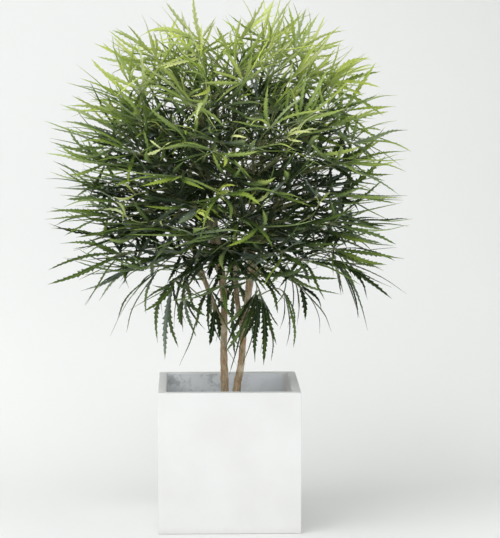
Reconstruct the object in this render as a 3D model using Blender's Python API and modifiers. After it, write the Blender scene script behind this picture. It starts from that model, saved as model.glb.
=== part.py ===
"""Potted false aralia: a square planter, its soil, two forked woody stems and palmate leaves.

Metres, +Z up. The origin is the centre of the planter's underside and the front faces -Y.
Run with: blender --background --python part.py
"""

import math
import random

import bmesh
import bpy
from mathutils import Matrix, Vector
from mathutils.bvhtree import BVHTree

# ---------------------------------------------------------------- driving sizes
POT_SIDE = 0.300  # outside, square
POT_HEIGHT = 0.300
POT_WALL = 0.018  # at the rim
POT_FLOOR = 0.022
POT_DRAFT = 0.004  # each inner wall leans in this much from rim to floor
POT_EDGE_ROUND = 0.003

SOIL_LEVEL = POT_HEIGHT - 0.050  # where the soil meets the walls
SOIL_MOUND = 0.010  # how much higher it stands around the stems
SOIL_UNEVEN = 0.0015
SOIL_RIPPLES = (61.0, 53.0)  # per metre, in radians, along x and y
SOIL_CELLS = 8  # the soil's surface is this many cells each way
FLAT = math.radians(0.5)  # faces nearer to level than this are joined
SEAT_GAP = 0.0004  # between two pieces that rest on or in each other

STEM_DEPTH = 0.085  # how far the stems go down into the soil
STEM_SIDES_RESOLUTION = 2
CUTTER_MARGIN = 0.010  # how far a cutter passes the face it cuts through
WELD = 0.00005  # corners nearer than this are one

CROWN_CENTRE = Vector((0.0, 0.0, POT_HEIGHT + 0.470))
CROWN_RADIUS = 0.430  # to the leaflets' tips, sideways
CROWN_RISE = 0.420  # to the leaflets' tips, upwards
CROWN_LEAVES = 37
CROWN_LOWEST_ANGLE = math.radians(-50)
HUB_SHARE = 0.53  # how far out a leaf's hub is, as a share of the crown
SHOULDERS = 0.8  # 1 is round, and less is squarer: the upper half of the crown
HIPS = 0.45  # and its lower half

CROWN_LEAFLETS = 7  # on each leaf
SKIRT_LEAFLETS = 5
LEAFLET_LENGTH = 0.172
LEAFLET_WIDTH = 0.0125
BLADE_THICKNESS = 0.0012
BLADE_SEGMENTS = 3
PETIOLE_RADIUS = 0.0017
PETIOLE_STEPS = 4
PULVINUS_RADIUS = 0.0026  # the knuckle at the petiole's end
CROWN_PETIOLE = 0.105  # at the crown's middle height
TOP_PETIOLE_SHORTER = 0.035  # at the very top
SKIRT_PETIOLE = 0.085
LEAST_CLIMB = 0.020  # a petiole would rather climb at least this far
NEXT_BEST_PLACE = 0.05  # how much further off a leaf may grow than its nearest place
CROWN_FAN = math.radians(98)  # from a leaf's middle leaflet to its outer ones
TOP_FAN_NARROWER = math.radians(38)
SKIRT_FAN = math.radians(44)
CROWN_TILT = math.radians(2)  # how far the leaflets' feet lean below the leaf's own plane
SKIRT_TILT = math.radians(20)
CROWN_ARC = (math.radians(-26), math.radians(6))  # foot to tip: below 0 the tips turn up
TOP_ARC_MORE = math.radians(24)
SKIRT_ARC = (math.radians(22), math.radians(42))
MOST_SWING = 0.2  # of a crown leaf to either side of straight out, in radians
NEARER, FURTHER = -0.30, 0.12  # how a crown leaf's reach may stray, as shares of it
SKIRT_STRAY = 0.018  # how far a skirt leaf's hub may stray
MIDDLE_CLIMB = 0.10  # the crown leaves at mid-height point this far up, in radians
UPPER_CLIMB, LOWER_CLIMB = 0.85, 0.45  # how nearly the others point away from the middle
LEAF_SIZES = (0.88, 1.04)  # the spread about LEAFLET_LENGTH
MOST_ROLL = math.radians(35)  # of a leaf about the way that it points
OUTER_LEAFLET_SHORTER = 0.42  # as a share of the middle one
TOP_LEAFLETS_SHORTER = 0.16
HUB_RADIUS = 0.0045  # the small plate that the leaflets grow from
ROOM_BETWEEN_LEAVES = 0.0014
MOST_TRIES = 900
GOLDEN_ANGLE = math.radians(137.508)
LOWEST_LEAF = POT_HEIGHT + 0.170

# ---------------------------------------------------------------- stems, by hand
# Each cane is a route of a few points, a radius at its foot and one at its tip. Heights
# are above the planter's rim. The first cane of a stem stands in the soil and the others
# fork off it.
FOOT = SOIL_LEVEL - STEM_DEPTH - POT_HEIGHT
STEMS = {
    "stem_left": [
        {
            "route": [
                (-0.007, 0.000, FOOT),
                (-0.008, 0.000, -0.020),
                (-0.010, 0.000, 0.070),
                (-0.009, 0.001, 0.155),
                (-0.012, 0.002, 0.230),
                (-0.030, -0.035, 0.360),
                (-0.050, -0.070, 0.500),
                (-0.055, -0.075, 0.600),
            ],
            "radii": (0.0088, 0.0030),
        },
        {
            "route": [
                (-0.010, 0.000, 0.095),
                (-0.021, 0.001, 0.135),
                (-0.036, 0.004, 0.177),
                (-0.065, 0.006, 0.260),
                (-0.115, 0.010, 0.400),
                (-0.135, 0.012, 0.530),
            ],
            "radii": (0.0062, 0.0028),
        },
        {
            "route": [
                (-0.010, 0.001, 0.175),
                (-0.020, 0.030, 0.240),
                (-0.045, 0.075, 0.350),
                (-0.060, 0.105, 0.480),
                (-0.060, 0.110, 0.580),
            ],
            "radii": (0.0055, 0.0028),
        },
    ],
    "stem_right": [
        {
            "route": [
                (0.013, 0.000, FOOT),
                (0.017, 0.000, -0.020),
                (0.026, 0.000, 0.030),
                (0.031, 0.000, 0.085),
                (0.036, -0.002, 0.140),
                (0.052, -0.006, 0.230),
                (0.098, -0.015, 0.370),
                (0.130, -0.020, 0.530),
            ],
            "radii": (0.0088, 0.0030),
        },
        {
            "route": [
                (0.033, 0.000, 0.105),
                (0.022, 0.008, 0.155),
                (0.017, 0.014, 0.200),
                (0.015, 0.022, 0.320),
                (0.012, 0.028, 0.500),
                (0.012, 0.028, 0.650),
            ],
            "radii": (0.0060, 0.0028),
        },
        {
            "route": [
                (0.044, -0.004, 0.185),
                (0.052, 0.030, 0.260),
                (0.070, 0.085, 0.380),
                (0.075, 0.105, 0.500),
                (0.072, 0.108, 0.580),
            ],
            "radii": (0.0054, 0.0028),
        },
        {
            "route": [
                (0.038, -0.002, 0.150),
                (0.042, -0.040, 0.230),
                (0.048, -0.090, 0.350),
                (0.050, -0.110, 0.490),
            ],
            "radii": (0.0052, 0.0028),
        },
    ],
}

# The leaves of the crown's skirt hang lower than the rest. Each has its hub, from the
# middle of the rim, the way its fan points (a turn about Z from +X and a rise, in degrees)
# and its longest leaflet.
SKIRT_LEAVES = [
    {"hub": (-0.152, -0.050, 0.245), "points": (190, -22), "longest": 0.172},
    {"hub": (-0.118, -0.010, 0.220), "points": (170, -52), "longest": 0.168},
    {"hub": (-0.097, -0.085, 0.192), "points": (240, -84), "longest": 0.098},
    {"hub": (-0.040, -0.050, 0.202), "points": (205, -78), "longest": 0.178},
    {"hub": (0.062, -0.080, 0.203), "points": (290, -70), "longest": 0.168},
    {"hub": (0.212, -0.020, 0.275), "points": (355, -25), "longest": 0.178},
    {"hub": (0.120, 0.020, 0.192), "points": (10, -48), "longest": 0.135},
    {"hub": (-0.090, 0.120, 0.230), "points": (130, -40), "longest": 0.160},
    {"hub": (0.020, 0.140, 0.205), "points": (95, -58), "longest": 0.165},
    {"hub": (0.130, 0.120, 0.240), "points": (50, -34), "longest": 0.165},
]


# ---------------------------------------------------------------- small tools
def material(name, colour, roughness):
    made = bpy.data.materials.new(name)
    made.use_nodes = True
    made.diffuse_color = (*colour, 1.0)
    shader = made.node_tree.nodes["Principled BSDF"]
    shader.inputs["Base Color"].default_value = (*colour, 1.0)
    shader.inputs["Roughness"].default_value = roughness
    return made


def add_object(name, data, finish, collection):
    made = bpy.data.objects.new(name, data)
    collection.objects.link(made)
    if finish is not None:
        made.data.materials.append(finish)
    return made


def mesh_from(bm, name):
    mesh = bpy.data.meshes.new(name)
    bmesh.ops.recalc_face_normals(bm, faces=bm.faces)
    bm.to_mesh(mesh)
    bm.free()
    return mesh


def hide_as_cutter(obj):
    obj.hide_render = True
    obj.display_type = "WIRE"


def boolean(obj, operation, other):
    modifier = obj.modifiers.new(f"{operation.lower()}_{other.name}", "BOOLEAN")
    modifier.operation = operation
    modifier.object = other


def smooth_route(points, steps):
    """A Catmull-Rom curve through the points, with this many steps between two of them."""
    ends = [2 * points[0] - points[1], *points, 2 * points[-1] - points[-2]]
    route = []
    for a, b, c, d in zip(ends, ends[1:], ends[2:], ends[3:]):
        for step in range(steps):
            t = step / steps
            route.append(
                0.5 * (2 * b + (c - a) * t + (2 * a - 5 * b + 4 * c - d) * t * t
                       + (3 * b - a - 3 * c + d) * t * t * t)
            )
    route.append(points[-1])
    return route


def tube(name, points, radii, resolution, finish, collection):
    """A round bar along the points, as a closed mesh object."""
    curve = bpy.data.curves.new(name, "CURVE")
    curve.dimensions = "3D"
    curve.bevel_depth = 1.0
    curve.bevel_resolution = resolution
    curve.use_fill_caps = True
    spline = curve.splines.new("POLY")
    spline.points.add(len(points) - 1)
    for place, point, radius in zip(spline.points, points, radii):
        place.co = (*point, 1.0)
        place.radius = radius
    guide = bpy.data.objects.new(name + "_curve", curve)
    collection.objects.link(guide)
    graph = bpy.context.evaluated_depsgraph_get()
    mesh = bpy.data.meshes.new_from_object(guide.evaluated_get(graph))
    bpy.data.objects.remove(guide)
    bm = bmesh.new()
    bm.from_mesh(mesh)
    bmesh.ops.remove_doubles(bm, verts=bm.verts, dist=WELD)
    bpy.data.meshes.remove(mesh)
    return add_object(name, mesh_from(bm, name), finish, collection)


# ---------------------------------------------------------------- planter and soil
def block(bm, side, low, high, low_side=None):
    """A square block between two heights, which may be narrower at its foot."""
    made = bmesh.ops.create_cube(bm, size=1.0)["verts"]
    for vert in made:
        half = (side if vert.co.z > 0 or low_side is None else low_side) / 2
        vert.co = Vector((
            math.copysign(half, vert.co.x),
            math.copysign(half, vert.co.y),
            high if vert.co.z > 0 else low,
        ))


def inner_side(height, gap=0.0):
    """The planter's clear width at a height, less a gap at each wall."""
    lean = POT_DRAFT * (POT_HEIGHT - height) / (POT_HEIGHT - POT_FLOOR)
    return POT_SIDE - 2 * (POT_WALL + lean + gap)


def make_planter(finish, collection, cutters):
    bm = bmesh.new()
    block(bm, POT_SIDE, 0.0, POT_HEIGHT)
    planter = add_object("planter", mesh_from(bm, "planter"), finish, collection)

    bm = bmesh.new()
    top = POT_HEIGHT + CUTTER_MARGIN
    block(bm, inner_side(top), POT_FLOOR, top, low_side=inner_side(POT_FLOOR))
    cavity = add_object("planter_cavity", mesh_from(bm, "planter_cavity"), None, cutters)
    hide_as_cutter(cavity)
    boolean(planter, "DIFFERENCE", cavity)

    bevel = planter.modifiers.new("rounded_edges", "BEVEL")
    bevel.width = POT_EDGE_ROUND
    bevel.segments = 2
    bevel.limit_method = "ANGLE"
    return planter


def soil_height(x, y):
    """The soil's surface: level at the walls, a low mound in the middle, a little uneven."""
    reach = inner_side(SOIL_LEVEL) / 2
    inward = (1 - (x / reach) ** 2) * (1 - (y / reach) ** 2)
    uneven = SOIL_UNEVEN * math.sin(x * SOIL_RIPPLES[0] + 1) * math.cos(y * SOIL_RIPPLES[1]) * inward
    return SOIL_LEVEL + SOIL_MOUND * max(0.0, inward) + uneven


def make_soil(finish, collection, sockets):
    foot = POT_FLOOR + SEAT_GAP
    bm = bmesh.new()
    bmesh.ops.create_grid(bm, x_segments=SOIL_CELLS, y_segments=SOIL_CELLS, size=0.5)
    surface = inner_side(SOIL_LEVEL, SEAT_GAP)
    for vert in bm.verts:
        x, y = vert.co.x * surface, vert.co.y * surface
        if len(vert.link_faces) == 1:
            x -= math.copysign(POT_EDGE_ROUND, x)
            y -= math.copysign(POT_EDGE_ROUND, y)
        vert.co = Vector((x, y, soil_height(x, y)))
    sides = bmesh.ops.extrude_face_region(bm, geom=bm.faces[:])
    narrowing = inner_side(foot, SEAT_GAP + POT_EDGE_ROUND) / surface
    for vert in sides["geom"]:
        if isinstance(vert, bmesh.types.BMVert):
            vert.co = Vector((vert.co.x * narrowing, vert.co.y * narrowing, foot))
    bmesh.ops.dissolve_limit(
        bm, angle_limit=FLAT,
        verts=[v for v in bm.verts if v.co.z < foot + SEAT_GAP],
        edges=[e for e in bm.edges if all(v.co.z < foot + SEAT_GAP for v in e.verts)],
    )
    soil = add_object("soil", mesh_from(bm, "soil"), finish, collection)
    for socket in sockets:
        boolean(soil, "DIFFERENCE", socket)
    return soil


# ---------------------------------------------------------------- stems
def from_rim(point):
    return Vector(point) + Vector((0, 0, POT_HEIGHT))


def cane_stations(cane, steps=3):
    """(place, radius, heading) along a cane, from its foot to its tip."""
    route = smooth_route([from_rim(p) for p in cane["route"]], steps)
    foot, tip = cane["radii"]
    last = len(route) - 1
    headings = [(b - a).normalized() for a, b in zip(route, route[1:])]
    headings.append(headings[-1])
    return [(p, foot + (tip - foot) * i / last, headings[i]) for i, p in enumerate(route)]


def make_stem(name, canes, finish, collection, cutters):
    """One grown piece: the first cane with the others joined to it. Returns it and its socket."""
    stem = None
    for number, cane in enumerate(canes):
        places, radii, _ = zip(*cane_stations(cane))
        if number == 0:
            stem = tube(name, places, radii, STEM_SIDES_RESOLUTION + 1, finish, collection)
            continue
        branch = tube(
            f"{name}_branch_{number}", places, radii, STEM_SIDES_RESOLUTION, finish, cutters
        )
        hide_as_cutter(branch)
        boolean(stem, "UNION", branch)

    foot, above = (from_rim(p) for p in canes[0]["route"][:2])
    down = (foot - above).normalized()
    wide = canes[0]["radii"][0] + SEAT_GAP * 2
    points = [foot + down * SEAT_GAP, foot, above, above - down * CUTTER_MARGIN]
    socket = tube(name + "_socket", points, [wide] * 4, STEM_SIDES_RESOLUTION + 1, None, cutters)
    hide_as_cutter(socket)
    return stem, socket


# ---------------------------------------------------------------- leaves
def towards(turn, rise):
    return Vector((
        math.cos(turn) * math.cos(rise), math.sin(turn) * math.cos(rise), math.sin(rise)
    ))


def place_of_growth(hub, petiole_length, stations, chance, stray):
    """The place on a cane that a petiole of about this length would come from.

    Of several that would do it takes a near one, and each attempt ranks them anew.
    """
    def cost(station):
        away = (hub - station[0]).length
        sag = max(0.0, LEAST_CLIMB - (hub.z - station[0].z))
        return abs(away - petiole_length) + away / 3 + sag * 1.5 + chance.uniform(0, NEXT_BEST_PLACE) * stray
    return min(stations, key=cost)


def crown_leaf(number, chance, stray):
    """A leaf on the golden-angle spiral that runs from the top of the crown to its foot."""
    share = (number + 0.5) / CROWN_LEAVES
    lift = 1 - share * (1 - math.sin(CROWN_LOWEST_ANGLE))
    rise = math.asin(lift)
    turn = number * GOLDEN_ANGLE + chance.uniform(-0.3, 0.3) * stray
    out = HUB_SHARE * (1 + chance.uniform(NEARER, FURTHER) * stray)
    girth = math.cos(rise) ** (SHOULDERS if rise > 0 else HIPS)
    hub = CROWN_CENTRE + Vector((
        math.cos(turn) * girth * CROWN_RADIUS * out,
        math.sin(turn) * girth * CROWN_RADIUS * out,
        lift * CROWN_RISE * out,
    ))
    climb = rise * (UPPER_CLIMB if rise > 0 else LOWER_CLIMB) + MIDDLE_CLIMB
    height = max(0.0, lift)
    return {
        "hub": hub,
        "turn": turn,
        "points": towards(turn + chance.uniform(-MOST_SWING, MOST_SWING), climb),
        "count": CROWN_LEAFLETS,
        "longest": LEAFLET_LENGTH * (1 - TOP_LEAFLETS_SHORTER * height) * chance.uniform(*LEAF_SIZES),
        "spread": CROWN_FAN - TOP_FAN_NARROWER * height,
        "petiole_length": CROWN_PETIOLE - TOP_PETIOLE_SHORTER * lift,
        "tilt": CROWN_TILT,
        "arc": chance.uniform(*CROWN_ARC) + TOP_ARC_MORE * height,
    }


def skirt_leaf(number, chance, stray):
    """One of the old leaves at the foot of the crown, hung where it was set by hand."""
    skirt = SKIRT_LEAVES[number]
    turn, rise = (math.radians(a) for a in skirt["points"])
    near = Vector([chance.uniform(-SKIRT_STRAY, SKIRT_STRAY) * stray for _ in range(3)])
    return {
        "hub": from_rim(skirt["hub"]) + near,
        "turn": turn,
        "points": towards(turn + chance.uniform(-0.25, 0.25) * stray, rise),
        "count": SKIRT_LEAFLETS,
        "longest": skirt["longest"],
        "spread": SKIRT_FAN,
        "petiole_length": SKIRT_PETIOLE,
        "tilt": SKIRT_TILT,
        "arc": chance.uniform(*SKIRT_ARC),
    }


def leaf_pose(number, attempt, stations):
    """Where a leaf sits: its petiole's route, and the hub and frame of its leaflets.

    A later attempt strays further from the leaf's first place.
    """
    chance = random.Random(f"leaf {number} attempt {attempt}")
    stray = min(1.0, 0.15 + attempt / 60)
    if number < CROWN_LEAVES:
        pose = crown_leaf(number, chance, stray)
    else:
        pose = skirt_leaf(number - CROWN_LEAVES, chance, stray)
    hub, points = pose["hub"], pose["points"]
    upward = Vector((0, 0, 1))
    normal = upward - upward.dot(points) * points
    normal = normal.normalized() if normal.length > 0.02 else -towards(pose["turn"], 0)
    normal = Matrix.Rotation(chance.uniform(-MOST_ROLL, MOST_ROLL), 3, points) @ normal
    pose["frame"] = Matrix((points, normal.cross(points), normal)).transposed()

    place, radius, heading = place_of_growth(hub, pose["petiole_length"], stations, chance, stray)
    aside = (hub - place) - (hub - place).dot(heading) * heading
    aside = aside.normalized()
    foot = place + aside * (radius + SEAT_GAP)
    start = foot + aside * PETIOLE_RADIUS * 2
    long = (hub - start).length
    first = start + aside * long / 4
    last = hub - points * long / 4 + upward * long / 10
    pose["petiole"] = [foot]
    for step in range(PETIOLE_STEPS + 1):
        t = step / PETIOLE_STEPS
        pose["petiole"].append(
            start * (1 - t) ** 3 + first * 3 * t * (1 - t) ** 2
            + last * 3 * t * t * (1 - t) + hub * t ** 3
        )
    return pose


def leaflet_width(along):
    """A leaflet's width as a share of its widest, from its foot to its tip."""
    return math.sin(math.pi * along ** 0.8) ** 0.6


def grow_leaflet(bm, edge, pose, side, swell):
    """Extrudes one edge of the hub into a blade that arcs as it goes out.

    side runs from -1 to 1 over the fan, and swell makes a stouter blade for trials.
    """
    length = pose["longest"] * (1 - OUTER_LEAFLET_SHORTER * abs(side) ** 1.5)
    width = LEAFLET_WIDTH * (0.8 + 0.2 * length / LEAFLET_LENGTH) + swell
    turn = Matrix.Rotation(side * pose["spread"], 3, "Z")
    foot = (edge.verts[0].co + edge.verts[1].co) / 2
    tilted = turn @ Matrix.Rotation(pose["tilt"], 3, "Y")
    for step in range(1, BLADE_SEGMENTS + 1):
        along = step / BLADE_SEGMENTS
        bend = pose["arc"] * along
        reach = length * along
        middle = Vector((reach * math.sin(bend) / bend, 0, -reach * (1 - math.cos(bend)) / bend))
        half = Vector((0, width / 2 * leaflet_width(min(along, 0.97)), 0))
        far = bmesh.ops.extrude_edge_only(bm, edges=[edge])["geom"]
        edge = next(g for g in far if isinstance(g, bmesh.types.BMEdge))
        ends = sorted(edge.verts, key=lambda v: (turn.inverted() @ (v.co - foot)).y)
        for vert, hand in zip(ends, (-1, 1)):
            vert.co = foot + tilted @ (middle + hand * half)
    bmesh.ops.pointmerge(bm, verts=list(edge.verts), merge_co=foot + tilted @ middle)


def blades(pose, swell=0.0):
    """The leaflets and the hub that they grow from, as one closed thin solid."""
    bm = bmesh.new()
    rim = 2 * max(CROWN_LEAFLETS, SKIRT_LEAFLETS)
    bmesh.ops.create_circle(bm, cap_ends=True, cap_tris=True, segments=rim, radius=HUB_RADIUS)
    bearings = {e: math.atan2(*reversed((e.verts[0].co + e.verts[1].co).xy)) for e in bm.edges}
    outer = [e for e in bm.edges if e.is_boundary]
    front = sorted(outer, key=lambda e: abs(bearings[e]))[:pose["count"]]
    front.sort(key=lambda e: bearings[e])
    for number, edge in enumerate(front):
        grow_leaflet(bm, edge, pose, 2 * number / (pose["count"] - 1) - 1, swell)
    bmesh.ops.recalc_face_normals(bm, faces=bm.faces)
    bmesh.ops.solidify(bm, geom=bm.faces[:], thickness=BLADE_THICKNESS + swell)
    for vert in bm.verts:
        vert.co = pose["hub"] + pose["frame"] @ vert.co
    bmesh.ops.recalc_face_normals(bm, faces=bm.faces)
    return bm


def stalk_rods(bm, points, radius):
    """A plain rod for each stretch of a petiole, for trying whether a leaf has room."""
    for a, b in zip(points, points[1:]):
        line = b - a
        turn = line.to_track_quat("Z", "Y").to_matrix().to_4x4()
        bmesh.ops.create_cone(
            bm, cap_ends=True, segments=5, radius1=radius, radius2=radius,
            depth=line.length, matrix=Matrix.Translation((a + b) / 2) @ turn,
        )


def trial(pose, swell):
    """The tree that tests a leaf against its neighbours, a little larger than the leaf."""
    bm = blades(pose, swell)
    stalk_rods(bm, pose["petiole"], PULVINUS_RADIUS + swell / 2)
    tree = BVHTree.FromBMesh(bm)
    bm.free()
    return tree


def find_room(number, stations, woody, taken):
    """The first attempt at which a leaf touches nothing that is already there."""
    for attempt in range(MOST_TRIES):
        pose = leaf_pose(number, attempt, stations)
        if any(tree.overlap(trial(pose, 0.0)) for tree in woody):
            continue
        tree = trial(pose, ROOM_BETWEEN_LEAVES)
        if not any(other.overlap(tree) for other in taken):
            return pose
    raise ValueError(f"leaf {number + 1} has no room in the crown")


def make_leaf(name, pose, finish, collection, cutters):
    """One grown piece: petiole, hub and leaflets."""
    leaf = add_object(name, mesh_from(blades(pose), name), finish, collection)
    slim, knuckle = PETIOLE_RADIUS, PULVINUS_RADIUS
    radii = [slim * 1.3, slim * 1.2] + [slim] * (PETIOLE_STEPS - 1) + [knuckle]
    stalk = tube(name + "_stalk", pose["petiole"], radii, 1, finish, cutters)
    hide_as_cutter(stalk)
    boolean(leaf, "UNION", stalk)
    return leaf


# ---------------------------------------------------------------- the whole plant
def surface_tree(obj):
    bpy.context.view_layer.update()
    graph = bpy.context.evaluated_depsgraph_get()
    evaluated = obj.evaluated_get(graph)
    bm = bmesh.new()
    bm.from_mesh(evaluated.to_mesh())
    evaluated.to_mesh_clear()
    tree = BVHTree.FromBMesh(bm)
    bm.free()
    return tree


def main():
    for obj in list(bpy.data.objects):
        bpy.data.objects.remove(obj)
    scene = bpy.context.scene
    plant = bpy.data.collections.new("potted_false_aralia")
    cutters = bpy.data.collections.new("cutters")
    scene.collection.children.link(plant)
    scene.collection.children.link(cutters)

    white_cement = material("white_cement", (0.86, 0.86, 0.85), 0.75)
    potting_soil = material("potting_soil", (0.09, 0.06, 0.04), 0.95)
    bark = material("bark", (0.42, 0.30, 0.19), 0.85)
    leaf_green = material("leaf_green", (0.14, 0.27, 0.05), 0.5)

    planter = make_planter(white_cement, plant, cutters)
    stems, sockets, stations = [], [], []
    for name, canes in STEMS.items():
        stem, socket = make_stem(name, canes, bark, plant, cutters)
        stems.append(stem)
        sockets.append(socket)
        for cane in canes:
            stations += [s for s in cane_stations(cane, 8) if s[0].z > LOWEST_LEAF]
    soil = make_soil(potting_soil, plant, sockets)

    woody = [surface_tree(obj) for obj in (planter, soil, *stems)]
    taken = []
    skirt_first = [*range(CROWN_LEAVES, CROWN_LEAVES + len(SKIRT_LEAVES)), *range(CROWN_LEAVES)]
    for number in skirt_first:
        pose = find_room(number, stations, woody, taken)
        taken.append(trial(pose, 0.0))
        make_leaf(f"leaf_{number + 1:02d}", pose, leaf_green, plant, cutters)


main()
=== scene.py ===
"""Potted false aralia: the finished look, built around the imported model."""

import math
import random
import bmesh
import bpy
from mathutils import Matrix, Vector, noise
from mathutils.kdtree import KDTree


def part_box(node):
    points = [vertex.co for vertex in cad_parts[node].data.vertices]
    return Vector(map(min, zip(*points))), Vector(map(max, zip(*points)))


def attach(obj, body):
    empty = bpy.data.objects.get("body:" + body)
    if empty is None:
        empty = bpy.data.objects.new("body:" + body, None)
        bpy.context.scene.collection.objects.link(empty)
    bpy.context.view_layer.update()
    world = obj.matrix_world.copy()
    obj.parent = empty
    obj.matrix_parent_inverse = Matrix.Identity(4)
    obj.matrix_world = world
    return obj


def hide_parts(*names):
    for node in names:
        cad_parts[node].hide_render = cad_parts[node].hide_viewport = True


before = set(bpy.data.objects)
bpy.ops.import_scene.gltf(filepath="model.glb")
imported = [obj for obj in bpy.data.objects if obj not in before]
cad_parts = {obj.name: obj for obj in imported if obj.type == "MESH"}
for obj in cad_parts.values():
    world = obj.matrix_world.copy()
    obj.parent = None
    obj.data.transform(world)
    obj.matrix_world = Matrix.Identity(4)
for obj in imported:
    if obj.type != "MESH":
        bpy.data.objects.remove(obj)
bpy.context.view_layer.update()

# ------------------------------------------------------------------------------ planter
# One cube cast in fibre cement. It is painted matt white outside and on the rim, and left
# bare and grey inside. The cast edges are eased by hand, so they aren't quite sharp.
WALL = 0.018
FLOOR = 0.022
LEAN = 0.004  # each inner wall leans in by this much at its foot
EASED_EDGE = 0.0028
WHITE_PAINT = (0.775, 0.78, 0.775)
CLOUDED_PAINT = (0.745, 0.747, 0.738)
CHIPPED_PAINT = (0.66, 0.66, 0.65)
FOOT_DUST = (0.60, 0.585, 0.55)
BARE_CEMENT = (0.72, 0.755, 0.785)
PALE_CEMENT = (0.82, 0.845, 0.86)
DARK_CEMENT = (0.54, 0.57, 0.59)
PAINTED_LIGHT_CEMENT = (0.86, 0.905, 0.95)  # painted light: the inner walls are coloured paler towards their right-hand end, where the light from the left falls

pot_low, pot_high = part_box("planter")
pot_side = pot_high.x - pot_low.x
rim = pot_high.z


def put(piece_name, mesh, material, stands_for=()):
    """A finished piece that goes with the plant, in place of these CAD nodes."""
    piece = bpy.data.objects.new(piece_name, mesh)
    bpy.context.scene.collection.objects.link(piece)
    mesh.materials.append(material)
    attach(piece, "root")
    if stands_for:
        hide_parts(*stands_for)
    return piece


def node(tree, kind, **inputs):
    """A shader node with its sockets set by name, either to a value or to another's output."""
    made = tree.nodes.new(kind)
    for name, value in inputs.items():
        key = int(name[1:]) if name[0] == "_" and name[1:].isdigit() else name.replace("_", " ")
        if isinstance(value, bpy.types.NodeSocket):
            tree.links.new(value, made.inputs[key])
        else:
            made.inputs[key].default_value = value
    return made


def sums(tree, operation, *values):
    """Arithmetic on shader values."""
    made = node(tree, "ShaderNodeMath", **{f"_{i}": v for i, v in enumerate(values)})
    made.operation = operation
    return made.outputs[0]


def blend_colours(tree, share, first, second, how="MIX"):
    """The first colour where the share is 0, the second where it is 1."""
    made = tree.nodes.new("ShaderNodeMix")
    made.data_type = "RGBA"
    made.blend_type = how
    for socket, value in ((made.inputs[0], share), (made.inputs[6], first), (made.inputs[7], second)):
        if isinstance(value, bpy.types.NodeSocket):
            tree.links.new(value, socket)
        elif socket.type == "RGBA":
            socket.default_value = (*value, 1.0)
        else:
            socket.default_value = value
    return made.outputs[2]


def step_between(tree, value, low, high):
    """0 below low and 1 above high."""
    made = node(tree, "ShaderNodeMapRange", Value=value)
    made.interpolation_type = "SMOOTHSTEP"
    made.inputs["From Min"].default_value = low
    made.inputs["From Max"].default_value = high
    return made.outputs[0]


def new_material(name, roughness, specular=0.5):
    made = bpy.data.materials.new(name)
    made.use_nodes = True
    shader = made.node_tree.nodes["Principled BSDF"]
    shader.inputs["Roughness"].default_value = roughness
    shader.inputs["Specular IOR Level"].default_value = specular
    return made, made.node_tree, shader


def painted_cement():
    made, tree, shader = new_material("white_paint_on_cement", 0.62, 0.35)
    place = node(tree, "ShaderNodeTexCoord").outputs["Object"]
    axes = node(tree, "ShaderNodeSeparateXYZ", Vector=place)
    depth = sums(tree, "ABSOLUTE", axes.outputs[1])
    cloudy = node(tree, "ShaderNodeTexNoise", Vector=place, Scale=9.0, Detail=4.0).outputs[0]
    grainy = node(tree, "ShaderNodeTexNoise", Vector=place, Scale=260.0, Detail=3.0).outputs[0]
    blotchy = node(tree, "ShaderNodeTexNoise", Vector=place, Scale=38.0, Detail=6.0,
                   Roughness=0.7).outputs[0]

    # paint: a little warmer and greyer in clouds, with dust along the foot
    paint = blend_colours(tree, step_between(tree, cloudy, 0.35, 0.7), WHITE_PAINT, CLOUDED_PAINT)
    height = sums(tree, "ADD", axes.outputs[2], sums(tree, "MULTIPLY", blotchy, 0.02))
    foot = step_between(tree, height, 0.026, 0.008)
    paint = blend_colours(tree, sums(tree, "MULTIPLY", foot, 0.35), paint, FOOT_DUST)
    chips = step_between(tree, blotchy, 0.74, 0.76)
    paint = blend_colours(tree, sums(tree, "MULTIPLY", chips, 0.5), paint, CHIPPED_PAINT)

    # bare cement on the inner walls, from just under the rim down
    inner = pot_side / 2 - WALL
    ragged = sums(tree, "MULTIPLY", sums(tree, "SUBTRACT", blotchy, 0.5), 0.004)
    below = step_between(tree, sums(tree, "ADD", axes.outputs[2], ragged), rim - 0.0012, rim - 0.0030)
    inside = sums(tree, "MULTIPLY", below, step_between(tree, depth, inner + 0.004, inner + 0.001))
    # the white paint reaches a little way round the corners and, at the right end, over the inner wall
    # and further along the back: painted light where the light from the left falls
    ragged_x = sums(tree, "ADD", axes.outputs[0], sums(tree, "MULTIPLY", blotchy, 0.014))
    inside = sums(tree, "MULTIPLY", inside, step_between(tree, ragged_x, inner - 0.001, inner - 0.009))
    inside = sums(tree, "MULTIPLY", inside, step_between(tree, ragged_x, 0.0065 - inner, 0.0075 - inner))
    cement = blend_colours(tree, step_between(tree, cloudy, 0.3, 0.7), BARE_CEMENT, PALE_CEMENT)
    cement = blend_colours(tree, step_between(tree, blotchy, 0.50, 0.60), cement, DARK_CEMENT)
    # painted light: the cement is coloured paler towards the right, as if lit from the left
    painted_light_right = sums(tree, "MULTIPLY", step_between(tree, axes.outputs[0], -0.06, 0.11), 0.85)
    cement = blend_colours(tree, painted_light_right, cement, PAINTED_LIGHT_CEMENT)
    tree.links.new(blend_colours(tree, inside, paint, cement), shader.inputs["Base Color"])

    relief = sums(tree, "ADD", sums(tree, "MULTIPLY", grainy, 0.5), sums(tree, "MULTIPLY", blotchy, 0.5))
    bump = node(tree, "ShaderNodeBump", Height=relief, Distance=0.0006, Strength=0.35)
    tree.links.new(bump.outputs[0], shader.inputs["Normal"])
    rough = node(tree, "ShaderNodeMapRange", Value=blotchy)
    rough.inputs["To Min"].default_value = 0.52
    rough.inputs["To Max"].default_value = 0.78
    tree.links.new(rough.outputs[0], shader.inputs["Roughness"])
    return made


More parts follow.
